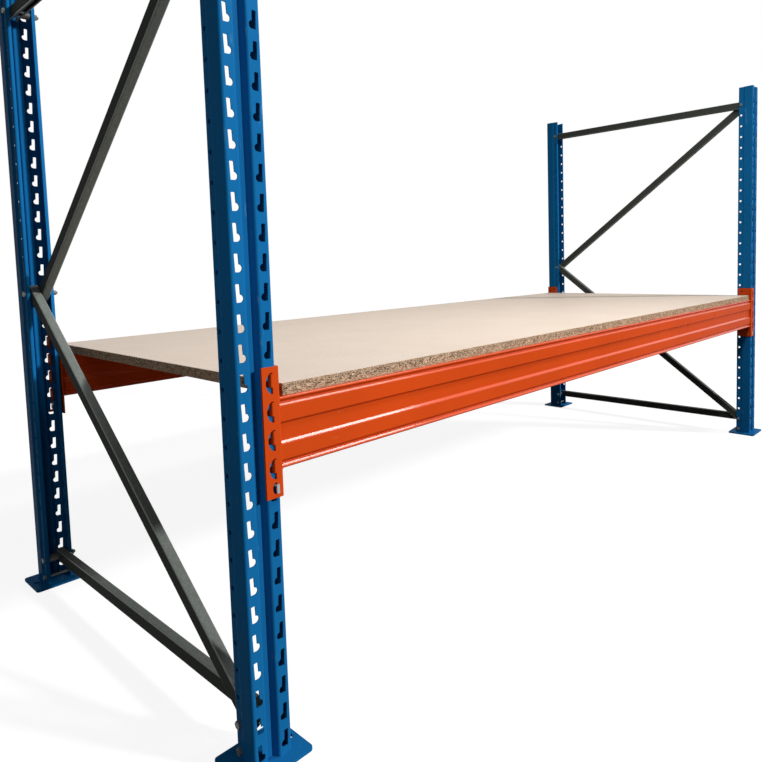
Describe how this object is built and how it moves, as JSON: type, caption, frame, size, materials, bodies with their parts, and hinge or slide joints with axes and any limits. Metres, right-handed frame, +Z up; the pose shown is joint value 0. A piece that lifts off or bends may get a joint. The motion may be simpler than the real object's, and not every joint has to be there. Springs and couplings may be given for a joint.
{
  "type": "pallet rack deck",
  "caption": "Pallet rack level: a flat chipboard deck resting on box beams that hook into slotted posts with zigzag bracing and footplates.",
  "frame": {"origin": "on the floor, under the middle of the bay", "axes": "+X along the beams to the right as seen from the front, +Y from the front to the rear, +Z up"},
  "size_m": [2.916, 1.15, 1.65],
  "materials": {
    "chipboard": "raw pressed board",
    "blue_paint": "satin powder coat",
    "orange_paint": "satin powder coat",
    "galvanised": "dull galvanised sheet",
    "zinc": "bright zinc plating",
    "spacer_plastic": "matt"
  },
  "bodies": {
    "root": {"chipboard_deck": "chipboard", "foot_bolts": "zinc", "foot_nuts": "zinc", "front_beam": "orange_paint", "front_left_connector": "orange_paint", "front_left_footplate": "blue_paint", "front_left_locking_clip": "zinc", "front_left_post": "blue_paint", "front_right_connector": "orange_paint", "front_right_footplate": "blue_paint", "front_right_locking_clip": "zinc", "front_right_post": "blue_paint", "left_bottom_horizontal": "galvanised", "left_brace_bolts": "zinc", "left_brace_nuts": "zinc", "left_brace_spacers": "spacer_plastic", "left_lower_diagonal": "galvanised", "left_top_horizontal": "galvanised", "left_upper_diagonal": "galvanised", "rear_beam": "orange_paint", "rear_left_connector": "orange_paint", "rear_left_footplate": "blue_paint", "rear_left_locking_clip": "zinc", "rear_left_post": "blue_paint", "rear_right_connector": "orange_paint", "rear_right_footplate": "blue_paint", "rear_right_locking_clip": "zinc", "rear_right_post": "blue_paint", "right_bottom_horizontal": "galvanised", "right_brace_bolts": "zinc", "right_brace_nuts": "zinc", "right_brace_spacers": "spacer_plastic", "right_lower_diagonal": "galvanised", "right_top_horizontal": "galvanised", "right_upper_diagonal": "galvanised"}
  },
  "joints": []
}
